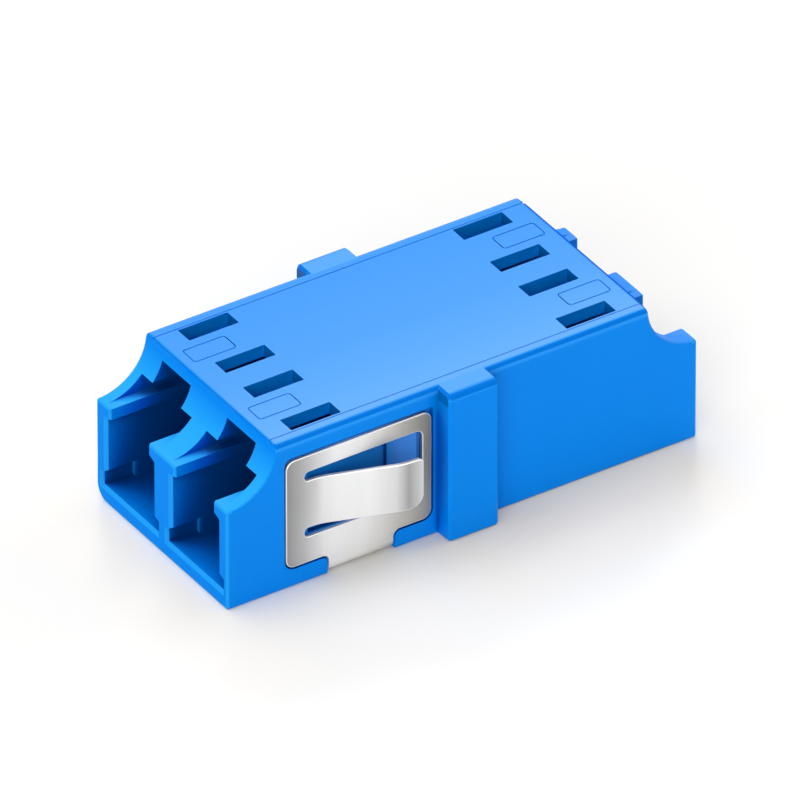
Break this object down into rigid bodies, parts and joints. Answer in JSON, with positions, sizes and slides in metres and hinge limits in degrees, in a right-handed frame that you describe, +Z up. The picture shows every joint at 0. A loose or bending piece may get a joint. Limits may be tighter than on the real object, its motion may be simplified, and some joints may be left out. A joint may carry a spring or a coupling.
{
  "type": "duplex fibre optic adapter",
  "caption": "Blue duplex fibre optic adapter with stepped ports at both ends, side flange ribs, split ceramic sleeves and a folded spring panel clip.",
  "frame": {"origin": "middle of the underside, midway between the two ports and at the middle of the flange ribs", "axes": "+X along the ports from the clip end to the plain end, +Y across the ports, +Z up from the underside to the slotted top"},
  "size_m": [0.0292, 0.0156, 0.0092],
  "materials": {
    "housing": "satin moulded",
    "retainer": "satin moulded",
    "spring_steel": "brushed across the sheet",
    "ceramic": "ground white ceramic"
  },
  "bodies": {
    "root": {"housing": "housing", "spring_clip": "spring_steel", "front_retainer_left": "retainer", "rear_retainer_left": "retainer", "alignment_sleeve_left": "ceramic", "front_retainer_right": "retainer", "rear_retainer_right": "retainer", "alignment_sleeve_right": "ceramic"}
  },
  "joints": []
}
